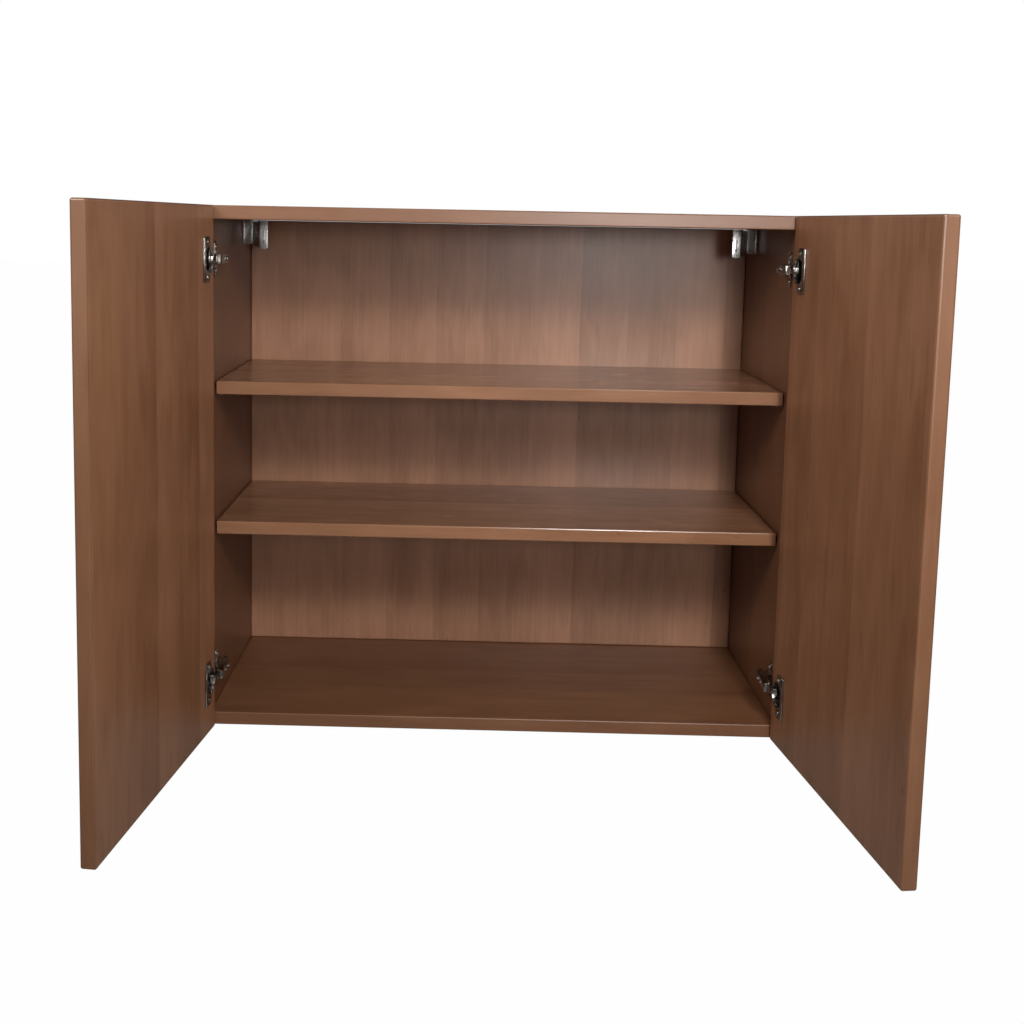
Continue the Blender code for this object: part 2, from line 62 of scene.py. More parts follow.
sides = {"left": -1, "right": 1}
print("loaded", len(parts), "cabinet parts")


class Flow:  # one node output, so that shader maths reads as plain sums
    def __init__(self, finish, socket):
        self.finish, self.socket = finish, socket

    def math(self, operation, first, second=0.0):
        return self.finish.node("ShaderNodeMath", {"operation": operation}, {0: first, 1: second})

    def __add__(self, other):
        return self.math("ADD", self, other)

    def __radd__(self, other):
        return self.math("ADD", other, self)

    def __sub__(self, other):
        return self.math("SUBTRACT", self, other)

    def __rsub__(self, other):
        return self.math("SUBTRACT", other, self)

    def __mul__(self, other):
        return self.math("MULTIPLY", self, other)

    def __rmul__(self, other):
        return self.math("MULTIPLY", other, self)

    def __truediv__(self, other):
        return self.math("DIVIDE", self, other)

    def __abs__(self):
        return self.math("ABSOLUTE", self)

    def floor(self):
        return self.math("FLOOR", self)

    def least(self, other):
        return self.math("MINIMUM", self, other)

    def most(self, other):
        return self.math("MAXIMUM", self, other)

    def rise(self, start, end):  # 0 before start, 1 after end, smooth between them
        return self.finish.node("ShaderNodeMapRange", {"interpolation_type": "SMOOTHSTEP"},
                                {"Value": self, "From Min": start, "From Max": end})


class Finish:  # a material under construction
    def __init__(self, name):
        self.material = bpy.data.materials.new(name)
        self.material.use_nodes = True
        self.tree = self.material.node_tree
        self.shader = self.tree.nodes["Principled BSDF"]

    def node(self, kind, settings=None, values=None, output=0):
        made = self.tree.nodes.new(kind)
        for setting, choice in (settings or {}).items():
            setattr(made, setting, choice)
        for socket, value in (values or {}).items():
            self.put(made.inputs[socket], value)
        if isinstance(output, tuple):
            return [Flow(self, made.outputs[which]) for which in output]
        return Flow(self, made.outputs[output])

    def put(self, socket, value):
        if isinstance(value, Flow):
            self.tree.links.new(value.socket, socket)
        elif isinstance(value, (tuple, list)) and len(value) != len(socket.default_value):
            socket.default_value = (*value, 1)
        else:
            socket.default_value = value

    def objectPlace(self):
        return self.node("ShaderNodeTexCoord", output="Object")

    # scale is cells per metre along x, y, z
    def noise(self, place, scale, detail=2.0, seed=0.0, distortion=0.0):
        spot = self.node("ShaderNodeVectorMath", {"operation": "MULTIPLY_ADD"},
                         {0: place, 1: scale, 2: (seed, seed * 0.7, seed * 1.3)})
        return self.node("ShaderNodeTexNoise", {},
                         {"Vector": spot, "Scale": 1.0, "Detail": detail, "Distortion": distortion})

    def blend(self, factor, first, second, way="MIX"):  # colours
        return self.node("ShaderNodeMix", {"data_type": "RGBA", "blend_type": way},
                         {0: factor, 6: first, 7: second}, output=2)

    def relief(self, height, depth, strength=1.0):  # depth in metres
        return self.node("ShaderNodeBump", {}, {"Height": height, "Distance": depth, "Strength": strength})

    def done(self, **sockets):
        for name, value in sockets.items():
            self.put(self.shader.inputs[name], value)
        return self.material


laminateLook = {
    "paleWood": (0.350, 0.160, 0.080),
    "darkWood": (0.185, 0.075, 0.032),
    "fleckWood": (0.060, 0.022, 0.010),
    "stripWidth": 0.074,
    "bandThickness": 0.0012,
    "bandBlur": 0.0001,
    "seamWidth": 0.0003,
    "grainDepth": 0.00004,
}


def boardFrame(part, turn):  # middle and half sizes of a board once it is turned square to the axes
    square = Matrix.Rotation(turn, 3, "Z")
    spots = [square @ corner.co for corner in part.data.vertices]
    low = Vector([min(spot[i] for spot in spots) for i in range(3)])
    high = Vector([max(spot[i] for spot in spots) for i in range(3)])
    return (low + high) / 2, (high - low) / 2


def laminate(name, part, order, seed, turn, lightShadeTint, gloss, edge):
    # order names the axes that run across the grain, through the board and along the grain
    look = laminateLook
    middle, half = boardFrame(part, turn)
    finish = Finish(name)
    place = finish.node("ShaderNodeMapping", {"vector_type": "POINT"},
                        {"Vector": finish.objectPlace(), "Location": -middle, "Rotation": (0, 0, turn)})
    across, through, along = finish.node("ShaderNodeSeparateXYZ", {}, {0: place}, output=tuple(order))
    halfAcross, halfAlong = (half["XYZ".index(axis)] for axis in (order[0], order[2]))
    inner, outer = look["bandThickness"], look["bandThickness"] - look["bandBlur"]
    endBand = abs(along).rise(halfAlong - inner, halfAlong - outer)
    sideBand = abs(across).rise(halfAcross - inner, halfAcross - outer)
    band = endBand.most(sideBand)
    onFace = finish.node("ShaderNodeCombineXYZ", {}, {0: across, 1: through, 2: along})
    onEnd = finish.node("ShaderNodeCombineXYZ", {}, {0: through, 1: along, 2: across})
    wood = finish.node("ShaderNodeMix", {"data_type": "VECTOR"},
                       {0: endBand, 4: onFace, 5: onEnd}, output=1)
    sway = finish.noise(wood, (2, 2, 3), 1, seed)
    stripCount = ((across + 0.010 * sway) / look["stripWidth"] + seed * 3.7).floor()
    strip = finish.node("ShaderNodeTexWhiteNoise", {"noise_dimensions": "1D"}, {"W": stripCount + seed})
    within = (across / look["stripWidth"] + seed * 3.7) - stripCount
    cloud = finish.noise(wood, (22, 22, 8), 3, seed + 1, 0.5)
    flame = finish.noise(wood, (60, 60, 9), 2, seed + 2, 0.9)
    fibre = finish.noise(wood, (260, 260, 5), 3, seed + 3, 0.2)
    pore = finish.noise(wood, (1500, 1500, 28), 2, seed + 4)
    pale = (0.5 + 0.22 * (strip - 0.5) + 0.10 * (within - 0.5) + 0.62 * (cloud - 0.5)
            + 0.45 * (flame - 0.5) + 0.30 * (fibre - 0.5) + 0.25 * (pore - 0.5))
    colour = finish.blend(pale.rise(0.0, 1.0), look["darkWood"], look["paleWood"])
    dashPlace = finish.node("ShaderNodeVectorMath", {"operation": "MULTIPLY_ADD"},
                            {0: wood, 1: (75, 75, 24), 2: (seed, seed, seed)})
    away, lot = finish.node("ShaderNodeTexVoronoi", {}, {"Vector": dashPlace, "Scale": 1.0},
                            output=("Distance", "Color"))
    chosen, size = finish.node("ShaderNodeSeparateColor", {}, {0: lot}, output=(0, 1))
    crowd = finish.noise(wood, (9, 9, 5), 1, seed + 5)
    dashShape = 1 - away.rise(0.03 + 0.03 * size, 0.08 + 0.06 * size)
    fleck = dashShape * (1 - chosen.rise(0.10, 0.16)) * crowd.rise(0.42, 0.62)
    colour = finish.blend(0.75 * fleck, colour, look["fleckWood"])
    # painted sheen: the edge band is lightened towards the pale wood
    colour = finish.blend(0.30 * band, colour, look["paleWood"])
    # each board's edge band tone, which paints shade onto the doors' edges
    colour = finish.blend(band, colour, (edge, edge, edge), "MULTIPLY")
    fromEdge = (halfAcross - abs(across)).least(halfAlong - abs(along))
    seam = 1 - abs(fromEdge - look["bandThickness"]).rise(look["seamWidth"] * 0.3, look["seamWidth"])
    colour = finish.blend(0.55 * seam, colour, look["fleckWood"])
    # painted light and shade: each board of the one laminate is lightened or darkened by how light falls on
    # it
    colour = finish.blend(1.0, colour, lightShadeTint, "MULTIPLY")
    rub = finish.noise(wood, (14, 14, 14), 3, seed + 6)
    rough = gloss + 0.05 * (cloud - 0.5) + 0.05 * (rub - 0.5) + 0.08 * (pore - 0.5) - 0.03 * band
    height = 0.6 * pore + 0.4 * fibre - 2.0 * fleck - 1.5 * seam
    return finish.done(**{"Base Color": colour, "Roughness": rough,
                          "Normal": finish.relief(height, look["grainDepth"], 0.35)})


def give(part, material):
    part.data.materials.clear()
    part.data.materials.append(material)


swing = {joint["name"]: joint for joint in frame["joints"]}
opening = math.radians(swing["door_left_swing"]["range_deg"][1]
                       + swing["link_left_top_pivot"]["range_deg"][0])
boards = {  # order, seed, turn, tint that paints light and shade onto each board, gloss, tone of the edge band
    "top_panel": ("YZX", 1.3, 0.0, (0.82, 0.84, 0.90), 0.36, 0.95),
    "bottom_panel": ("YZX", 2.9, 0.0, (0.78, 0.75, 0.71), 0.40, 0.90),
    "back_panel": ("XYZ", 4.1, 0.0, (1.40, 1.58, 1.90), 0.34, 1.00),
    "side_panel_left": ("YXZ", 5.7, 0.0, (0.68, 0.64, 0.61), 0.38, 0.90),
    "side_panel_right": ("YXZ", 6.2, 0.0, (0.68, 0.64, 0.61), 0.38, 0.90),
    "shelf_upper": ("YZX", 7.9, 0.0, (1.12, 1.20, 1.30), 0.25, 1.00),
    "shelf_lower": ("YZX", 8.6, 0.0, (1.12, 1.20, 1.30), 0.25, 1.00),
    "door_left": ("XYZ", 9.4, opening, (1.04, 1.05, 1.06), 0.36, 0.62),
    "door_right": ("XYZ", 11.2, -opening, (1.14, 1.16, 1.20), 0.36, 0.74),
}
for name, (order, seed, turn, lightShadeTint, gloss, edge) in boards.items():
    board = parts[name]
    give(board, laminate("laminate_" + name, board, order, seed, turn, lightShadeTint, gloss, edge))
print("laminated", len(boards), "boards")


nickelLook = {
    "bright": (0.52, 0.49, 0.45),
    "dull": (0.22, 0.20, 0.18),
    # colour of the painted shade deep inside the hinge cup
    "pocketShade": (0.012, 0.010, 0.009),
    "gloss": 0.20,
    "scratchDepth": 0.00001,
}
zincLook = {"bright": (0.72, 0.71, 0.69), "dull": (0.42, 0.41, 0.40), "gloss": 0.28, "scratchDepth": 0.00002}


def plating(name, look, grain, shaded=False):  # grain stretches the rolling marks of the sheet
    finish = Finish(name)
    place = finish.objectPlace()
    smear = finish.noise(place, (160, 160, 160), 3)
    marks = finish.noise(place, grain, 2, 3.1)
    pit = finish.noise(place, (1400, 1400, 1400), 1, 5.3)
    dull = (0.5 + 1.2 * (smear - 0.5) + 0.6 * (marks - 0.5)).rise(0.1, 0.9)
    colour = finish.blend(dull, look["bright"], look["dull"])
    if shaded:  # painted shade: darker deeper in the pocket, in place of the shadow inside the cup
        pocket = finish.node("ShaderNodeAttribute", {"attribute_name": "pocket"}, output="Fac")
        colour = finish.blend(0.93 * pocket, colour, look["pocketShade"])
    rough = look["gloss"] + 0.22 * (smear - 0.4) + 0.16 * (marks - 0.5) + 0.08 * pit.rise(0.6, 0.75)
    return finish.done(**{"Base Color": colour, "Roughness": rough, "Metallic": 1.0,
                          "Normal": finish.relief(0.7 * marks + 0.6 * pit, look["scratchDepth"], 0.4)})


nickel = plating("nickel_plate", nickelLook, (700, 90, 700))
# the cups' nickel carries painted shade that darkens towards the bottom of the pocket
cupNickel = plating("nickel_cup", nickelLook, (700, 90, 700), True)
zinc = plating("zinc_plate", zincLook, (420, 420, 60))
for name, part in parts.items():
    if name.startswith("pin"):
        give(part, zinc)
print("mixed the plated finishes")


def meshFrom(owner):  # what an object looks like with its modifiers, as a plain mesh
    seen = owner.evaluated_get(bpy.context.evaluated_depsgraph_get())
    return bpy.data.meshes.new_from_object(seen)


def softened(name, width, segments=2):  # a copy of a fitting with its sharp edges rounded
    shape = bmesh.new()
    shape.from_mesh(parts[name].data)
    bmesh.ops.remove_doubles(shape, verts=shape.verts, dist=0.000002)
    bmesh.ops.dissolve_limit(shape, angle_limit=math.radians(1), verts=shape.verts, edges=shape.edges)
    mesh = bpy.data.meshes.new("rough")
    shape.to_mesh(mesh)
    shape.free()
    rough = bpy.data.objects.new("rough", mesh)
    bpy.context.scene.collection.objects.link(rough)
    bevel = rough.modifiers.new("bevel", "BEVEL")
    bevel.width, bevel.segments = width, segments
    bevel.limit_method, bevel.angle_limit = "ANGLE", math.radians(35)
    soft = bmesh.new()
    soft.from_mesh(meshFrom(rough))
    bpy.data.objects.remove(rough)
    return soft


def addTurned(shape, profile, place, segments=28):  # (radius, height) pairs turned about the place's own Z
    turns = [2 * math.pi * i / segments for i in range(segments)]
    rings = [[shape.verts.new(place @ Vector((radius * math.cos(turn), radius * math.sin(turn), height)))
              for turn in turns] for radius, height in profile]
    faces = []
    for low, high in zip(rings, rings[1:]):
        for i in range(segments):
            j = (i + 1) % segments
            faces.append(shape.faces.new((low[i], low[j], high[j], high[i])))
    faces.append(shape.faces.new(rings[0][::-1]))
    faces.append(shape.faces.new(rings[-1]))
    if place.determinant() < 0:
        bmesh.ops.reverse_faces(shape, faces=faces)


def addRing(shape, radius, thickness, place, segments=48, around=10):
    section = [(radius + thickness * math.cos(2 * math.pi * k / around),
                thickness * math.sin(2 * math.pi * k / around)) for k in range(around)]
    turns = [2 * math.pi * i / segments for i in range(segments)]
    rings = [[shape.verts.new(place @ Vector((out * math.cos(turn), out * math.sin(turn), lift)))
              for out, lift in section] for turn in turns]
    faces = []
    for i, ring in enumerate(rings):
        after = rings[(i + 1) % segments]
        for k in range(around):
            m = (k + 1) % around
            faces.append(shape.faces.new((ring[k], after[k], after[m], ring[m])))
    if place.determinant() < 0:
        bmesh.ops.reverse_faces(shape, faces=faces)


def addSlab(shape, low, high, place, rounding=0.0003):  # a block with rounded edges
    block = bmesh.new()
    low, high = Vector(low), Vector(high)
    bmesh.ops.create_cube(block, size=1, matrix=Matrix.Translation((low + high) / 2)
                          @ Matrix.Diagonal((*(high - low), 1)))
    bmesh.ops.bevel(block, geom=block.edges[:], offset=rounding, segments=2, profile=0.5, affect="EDGES")
    block.transform(place)
    if place.determinant() < 0:
        bmesh.ops.reverse_faces(block, faces=block.faces)
    spare = bpy.data.meshes.new("block")
    block.to_mesh(spare)
    block.free()
    shape.from_mesh(spare)


def aimed(point, direction):  # a frame at point with its Z along direction
    turn = Vector((0, 0, 1)).rotation_difference(Vector(direction))
    return Matrix.Translation(point) @ turn.to_matrix().to_4x4()


def finishPiece(name, shape, material, slot, body, *replaced, pocket=None):
    mesh = bpy.data.meshes.new(name)
    shape.to_mesh(mesh)
    shape.free()
    if pocket:  # how far each point lies below the door's face, for the painted shade inside the cup
        deep = hingeLook["pocketDepth"]
        depths = [min(1.0, max(0.0, 0.2 - (pocket @ vert.co).y / deep)) for vert in mesh.vertices]
        mesh.attributes.new("pocket", "FLOAT", "POINT").data.foreach_set("value", depths)
    mesh.shade_smooth()
    mesh.set_sharp_from_angle(angle=math.radians(32))
    piece = bpy.data.objects.new(name, mesh)
    bpy.context.scene.collection.objects.link(piece)
    give(piece, material)
    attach(piece, body)
    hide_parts(*replaced)


hingeLook = {
    "edge": 0.00035,
    "pivotCap": (0.0022, 0.0006),  # radius, height
    "rib": (0.0268, 0.0300, 0.0021),  # the stamped rib on the arm: from, to, half width
    "adjusterBack": 0.0205,
    "adjusterWidth": 0.0026,
    "boss": (0.0043, 0.0004),  # the ring round a plate screw: radius, thickness
    "bossPlane": 0.0018,
    "springWidth": 0.0012,
    "springLength": 0.0090,
    "springPlace": (0.0285, 0.0072),  # from the hinge edge, to either side of the link
    "springDepth": 0.0095,
    "pocketDepth": 0.0035,
    "flangeFrom": 0.0330,
    "flange": (0.0436, 0.0285, 0.0022),  # reach, half length, rim height
    "flangeSheet": (0.0002, 0.0011),
    "rimWidth": 0.0024,
}
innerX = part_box("side_panel_right")[0].x
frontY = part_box("side_panel_left")[0].y


def middleOf(name):
    low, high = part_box(name)
    return (low + high) / 2


def cabinetPlace(side, height):  # x in from the side panel, y back from the front edge, z up
    return Matrix.Translation((side * innerX, frontY, height)) @ Matrix.Diagonal((-side, 1, 1, 1))


def doorPlace(sideName, height):  # x from the hinge edge, y off the inner face, z up
    side = sides[sideName]
    turn = -side * opening
    middle, half = boardFrame(parts["door_" + sideName], turn)
    corner = Matrix.Translation((middle.x + side * half.x, middle.y + half.y, height))
    return Matrix.Rotation(-turn, 4, "Z") @ corner @ Matrix.Diagonal((-side, 1, 1, 1))


def armTop(prefix, side):  # how far the arm stands off the side panel
    return max(abs(corner.x - side * innerX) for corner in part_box(prefix + "_arm"))


def buildArm(prefix, side, height):
    place = cabinetPlace(side, height)
    shape = softened(prefix + "_arm", hingeLook["edge"])
    low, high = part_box(prefix + "_arm")
    pivot = Vector(swing[f"link_{prefix.removeprefix('hinge_')}_pivot"]["pos_m"])
    radius, lift = hingeLook["pivotCap"]
    cap = [(radius, -lift / 2), (radius, lift * 0.4), (radius * 0.75, lift), (radius * 0.2, lift * 1.15)]
    for end, edge in ((1, high.z), (-1, low.z)):
        addTurned(shape, cap, aimed((pivot.x, pivot.y, edge), (0, 0, end)))
    top = armTop(prefix, side)
    start, stop, half = hingeLook["rib"]
    addSlab(shape, (top - 0.0004, start, -half), (top + 0.0006, stop, half), place)
    addRing(shape, hingeLook["adjusterWidth"] + 0.0006, 0.0003,
            place @ aimed((top, hingeLook["adjusterBack"], 0), (1, 0, 0)), 28, 8)
    finishPiece(prefix + "_arm_piece", shape, nickel, "nickel", "cabinet", prefix + "_arm")


def buildPlate(prefix, side):
    shape = softened(prefix + "_plate", hingeLook["edge"])
    radius, thick = hingeLook["boss"]
    for end in ("low", "high"):
        screw = middleOf(f"{prefix}_plate_screw_{end}")
        spot = Vector((side * (innerX - hingeLook["bossPlane"]), screw.y, screw.z))
        addRing(shape, radius, thick, aimed(spot, (-side, 0, 0)), 32, 8)
    finishPiece(prefix + "_plate_piece", shape, nickel, "nickel", "cabinet", prefix + "_plate")


def buildLink(prefix, sideName, rung):
    shape = softened(prefix + "_link", hingeLook["edge"])
    low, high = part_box(prefix + "_link")
    near = swing[f"link_{sideName}_{rung}_pivot"]["pos_m"]
    far = swing[f"door_{sideName}_swing"]["pos_m"]
    radius, lift = hingeLook["pivotCap"]
    for x, y, _ in (near, far):
        for end, edge in ((1, high.z), (-1, low.z)):
            addRing(shape, radius * 0.95, lift * 0.4, aimed((x, y, edge), (0, 0, end)), 24, 8)
    body = f"link_{sideName}_{rung}"
    finishPiece(prefix + "_link_piece", shape, nickel, "nickel", body, prefix + "_link")


def buildCup(prefix, sideName, height):
    place = doorPlace(sideName, height)
    shape = softened(prefix + "_cup", hingeLook["edge"])
    width, length, deep = (hingeLook["spring" + key] for key in ("Width", "Length", "Depth"))
    wire = [(width * 0.5, 0), (width * 0.6, 0.0005), (width * 0.6, length - 0.0005), (width * 0.4, length)]
    seat = [(0.0016, 0), (0.0016, 0.0012), (0.0010, 0.0016)]
    across, beside = hingeLook["springPlace"]
    for end in (-1, 1):  # the spring's two wires, beside the link
        addTurned(shape, wire, place @ aimed((across, -deep, end * beside), (-0.75, 0.62, 0)), 12)
        addTurned(shape, seat, place @ aimed((across, -deep - 0.0010, end * beside), (0, 1, 0)), 16)
    addSlab(shape, (0.0245, -0.0106, -0.0060), (0.0330, -0.0088, 0.0060), place, 0.0005)
    reach, tall, proud = hingeLook["flange"]
    under, over = hingeLook["flangeSheet"]
    addSlab(shape, (hingeLook["flangeFrom"], under, -tall), (reach - 0.0005, over, tall), place)
    addSlab(shape, (reach - hingeLook["rimWidth"], under, -tall), (reach, proud, tall), place, 0.0008)
    finishPiece(prefix + "_cup_piece", shape, cupNickel, "nickel", "door_" + sideName, prefix + "_cup",
                pocket=place.inverted())


for sideName, side in sides.items():
    for rung in ("top", "bottom"):
        prefix = f"hinge_{sideName}_{rung}"
        height = middleOf(prefix + "_arm").z
        buildArm(prefix, side, height)
        buildPlate(prefix, side)
        buildLink(prefix, sideName, rung)
        buildCup(prefix, sideName, height)
print("shaped the hinges")


hangerLook = {
    "edge": 0.0006,
    "bead": (0.0009, 0.030, 0.4),  # radius, length, ease of the ends
    "beadAcross": (0.0034, 0.0150),
    "beadBack": 0.2388,
    "beadDrop": 0.0335,
    "rib": (0.0016, 0.018, 0.5),
    "ribPlace": (0.0364, 0.2175, -0.0330),
}


def roundedRod(radius, length, ease):  # profile of a rod with softened ends
    return [(radius * 0.4, 0), (radius * 0.9, radius * ease), (radius, radius), (radius, length - radius),
            (radius * 0.9, length - radius * ease), (radius * 0.4, length)]


def buildHanger(sideName, side):
    shape = softened("hanger_" + sideName, hangerLook["edge"], 3)
    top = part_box("hanger_" + sideName)[1].z
    place = cabinetPlace(side, top)
    up, back, drop = (0, 0, 1), hangerLook["beadBack"], hangerLook["beadDrop"]
    for across in hangerLook["beadAcross"]:  # the outer leaf's rolled edges
        addTurned(shape, roundedRod(*hangerLook["bead"]), place @ aimed((across, back, -drop), up), 16)
    addTurned(shape, roundedRod(*hangerLook["rib"]), place @ aimed(hangerLook["ribPlace"], up), 16)
    finishPiece(f"hanger_{sideName}_piece", shape, zinc, "zinc", "cabinet", "hanger_" + sideName)


for sideName, side in sides.items():
    buildHanger(sideName, side)
print("shaped the hangers")


screwLook = {
    "recess": 0.30,  # shares of the head's radius
    "recessDepth": 0.34,
    "headRadius": 0.0032,
    "headHeight": 0.0014,
    "clampRadius": 0.0036,
    "clampHeight": 0.0020,
    "seed": 4,
}


def crossScrew():  # head of radius 1 about Z, with a cross recess
    shape = bmesh.new()
    profile = [(0.55, -0.6), (0.60, -0.05), (0.93, -0.02), (1.0, 0.05), (1.0, 0.12), (0.93, 0.26),
               (0.76, 0.38), (0.50, 0.45), (0.16, 0.48)]
    addTurned(shape, profile, Matrix.Identity(4), 32)
    head = bpy.data.objects.new("head", bpy.data.meshes.new("head"))
    shape.to_mesh(head.data)
    shape.clear()
    wide, deep = screwLook["recess"] / 2, 0.48 - screwLook["recessDepth"]
    slot = Matrix.Translation((0, 0, deep + 0.5)) @ Matrix.Diagonal((1.2, 2 * wide, 1, 1))
    for turn in (0, 90):
        bar = bmesh.ops.create_cube(shape, size=1, matrix=Matrix.Rotation(math.radians(turn), 4, "Z") @ slot)
        for vert in bar["verts"]:
            if vert.co.z < 0.5:
                vert.co.x, vert.co.y = vert.co.x * 0.55, vert.co.y * 0.55
    tool = bpy.data.objects.new("recess", bpy.data.meshes.new("recess"))
    shape.to_mesh(tool.data)
    shape.free()
    for owner in (head, tool):
        bpy.context.scene.collection.objects.link(owner)
    cut = head.modifiers.new("cut", "BOOLEAN")
    cut.operation, cut.solver, cut.object, cut.use_self = "DIFFERENCE", "EXACT", tool, True
    mesh = meshFrom(head)
    for owner in (head, tool):
        bpy.data.objects.remove(owner)
    mesh.set_sharp_from_angle(angle=math.radians(32))
    return mesh


def screwTree():
    tree = bpy.data.node_groups.new("screwRow", "GeometryNodeTree")
    sockets = tree.interface
    sockets.new_socket("spots", in_out="INPUT", socket_type="NodeSocketGeometry")
    sockets.new_socket("screw", in_out="INPUT", socket_type="NodeSocketObject")
    sockets.new_socket("plating", in_out="INPUT", socket_type="NodeSocketMaterial")
    sockets.new_socket("seed", in_out="INPUT", socket_type="NodeSocketInt")
    sockets.new_socket("screws", in_out="OUTPUT", socket_type="NodeSocketGeometry")

    def node(kind, settings=None, values=None):
        made = tree.nodes.new(kind)
        for setting, choice in (settings or {}).items():
            setattr(made, setting, choice)
        for socket, value in (values or {}).items():
            if isinstance(value, bpy.types.NodeSocket):
                tree.links.new(value, made.inputs[socket])
            else:
                made.inputs[socket].default_value = value
        return made

    given = node("NodeGroupInput")
    aim = node("GeometryNodeInputNamedAttribute", {"data_type": "FLOAT_VECTOR"}, {"Name": "aim"})
    width = node("GeometryNodeInputNamedAttribute", {"data_type": "FLOAT"}, {"Name": "width"})
    facing = node("FunctionNodeAlignRotationToVector", {"axis": "Z"}, {"Vector": aim.outputs[0]})
    turn = node("FunctionNodeRandomValue", {"data_type": "FLOAT"},
                {2: 0.0, 3: math.pi, "Seed": given.outputs["seed"]})
    spin = node("FunctionNodeAxisAngleToRotation", {}, {"Axis": (0, 0, 1), "Angle": turn.outputs[1]})
    turned = node("FunctionNodeRotateRotation", {"rotation_space": "LOCAL"},
                  {0: facing.outputs[0], 1: spin.outputs[0]})
    model = node("GeometryNodeObjectInfo", {"transform_space": "ORIGINAL"},
                 {"Object": given.outputs["screw"]})
    placed = node("GeometryNodeInstanceOnPoints", {}, {
        "Points": given.outputs["spots"], "Instance": model.outputs["Geometry"],
        "Rotation": turned.outputs[0], "Scale": width.outputs[0]})
    real = node("GeometryNodeRealizeInstances", {}, {0: placed.outputs[0]})
    coated = node("GeometryNodeSetMaterial", {},
                  {"Geometry": real.outputs[0], "Material": given.outputs["plating"]})
    node("NodeGroupOutput", {}, {0: coated.outputs[0]})
    return tree


def screwRow(name, spots, body, replaced, tree, model):  # spots are (point, aim, head radius)
    mesh = bpy.data.meshes.new(name)
    mesh.from_pydata([spot[0] for spot in spots], [], [])
    for label, kind in (("aim", "FLOAT_VECTOR"), ("width", "FLOAT")):
        mesh.attributes.new(label, kind, "POINT")
    mesh.attributes["aim"].data.foreach_set("vector", [part for spot in spots for part in spot[1]])
    mesh.attributes["width"].data.foreach_set("value", [spot[2] for spot in spots])
    row = bpy.data.objects.new(name + "_spots", mesh)
    bpy.context.scene.collection.objects.link(row)
    rule = row.modifiers.new("screws", "NODES")
    rule.node_group = tree
    chosen = {"screw": model, "plating": nickel, "seed": screwLook["seed"]}
    for item in tree.interface.items_tree:
        if item.name in chosen and item.in_out == "INPUT":
            rule[item.identifier] = chosen[item.name]
    made = meshFrom(row)
    bpy.data.objects.remove(row)
    made.name = name
    made.shade_smooth()
    made.set_sharp_from_angle(angle=math.radians(32))
    piece = bpy.data.objects.new(name, made)
    bpy.context.scene.collection.objects.link(piece)
    give(piece, nickel)
    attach(piece, body)
    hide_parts(*replaced)


def headSpot(name, aim, height):  # under the head of a screw that points along aim
    aim = Vector(aim)
    reach = [(spot.co.dot(aim), spot.co) for spot in parts[name].data.vertices]
    top = max(far for far, _ in reach)
    near = [spot for far, spot in reach if far > top - 0.00005]
    middle = sum(near, Vector()) / len(near)
    return middle - aim * height, aim


def placeScrews():
    model = bpy.data.objects.new("screw", crossScrew())
    bpy.context.scene.collection.objects.link(model)
    tree = screwTree()
    radius, height = screwLook["headRadius"], screwLook["headHeight"]
    fixed, fixedNames = [], []
    for sideName, side in sides.items():
        inward = (-side, 0, 0)
        onDoor, doorNames = [], []
        face = (doorPlace(sideName, 0).to_3x3() @ Vector((0, 1, 0))).normalized()
        for rung in ("top", "bottom"):
            prefix = f"hinge_{sideName}_{rung}"
            for end in ("low", "high"):
                name = f"{prefix}_plate_screw_{end}"
                fixed.append((*headSpot(name, inward, height), radius))
                fixedNames.append(name)
                name = f"{prefix}_cup_screw_{end}"
                onDoor.append((*headSpot(name, face, height), radius))
                doorNames.append(name)
            name = prefix + "_clamp_screw"
            spot, aim = headSpot(name, inward, screwLook["clampHeight"])
            fixed.append((spot, aim, screwLook["clampRadius"]))
            fixedNames.append(name)
            adjuster = Vector((armTop(prefix, side) + 0.0001, hingeLook["adjusterBack"], 0))
            fixed.append((cabinetPlace(side, spot.z) @ adjuster, Vector(inward), hingeLook["adjusterWidth"]))
        name = "hanger_screw_" + sideName
        fixed.append((*headSpot(name, (0, 0, -1), height), radius))
        fixedNames.append(name)
        screwRow(f"cup_screws_{sideName}", onDoor, "door_" + sideName, doorNames, tree, model)
    screwRow("cabinet_screws", fixed, "cabinet", fixedNames, tree, model)
    bpy.data.objects.remove(model)


placeScrews()
print("set the screws")


stageLook = {"floorDrop": 0.75, "floorSize": 40.0, "floorWhite": 1.0, "floorShare": 0.99}


def buildFloor():
    size, drop = stageLook["floorSize"], cadBox[0].z - stageLook["floorDrop"]
    mesh = bpy.data.meshes.new("floor")
    corners = [(-size, -size, drop), (size, -size, drop), (size, size, drop), (-size, size, drop)]
    mesh.from_pydata(corners, [], [(0, 1, 2, 3)])
    floor = bpy.data.objects.new("floor", mesh)
    bpy.context.scene.collection.objects.link(floor)
    finish = Finish("pale_floor")
    white = stageLook["floorWhite"]
    glow = finish.node("ShaderNodeEmission", {}, {"Color": (white, white, white)})
    finish.done(**{"Base Color": (0.5, 0.5, 0.5), "Roughness": 0.8})
    seen = finish.node("ShaderNodeLightPath", output="Is Camera Ray")
    plain = Flow(finish, finish.shader.outputs[0])
    share = finish.node("ShaderNodeMixShader", {}, {0: seen * stageLook["floorShare"], 1: plain, 2: glow})
    finish.put(finish.tree.nodes["Material Output"].inputs["Surface"], share)
    give(floor, finish.material)


skyLook = {"strength": 0.04, "above": 1.0, "below": 0.25}


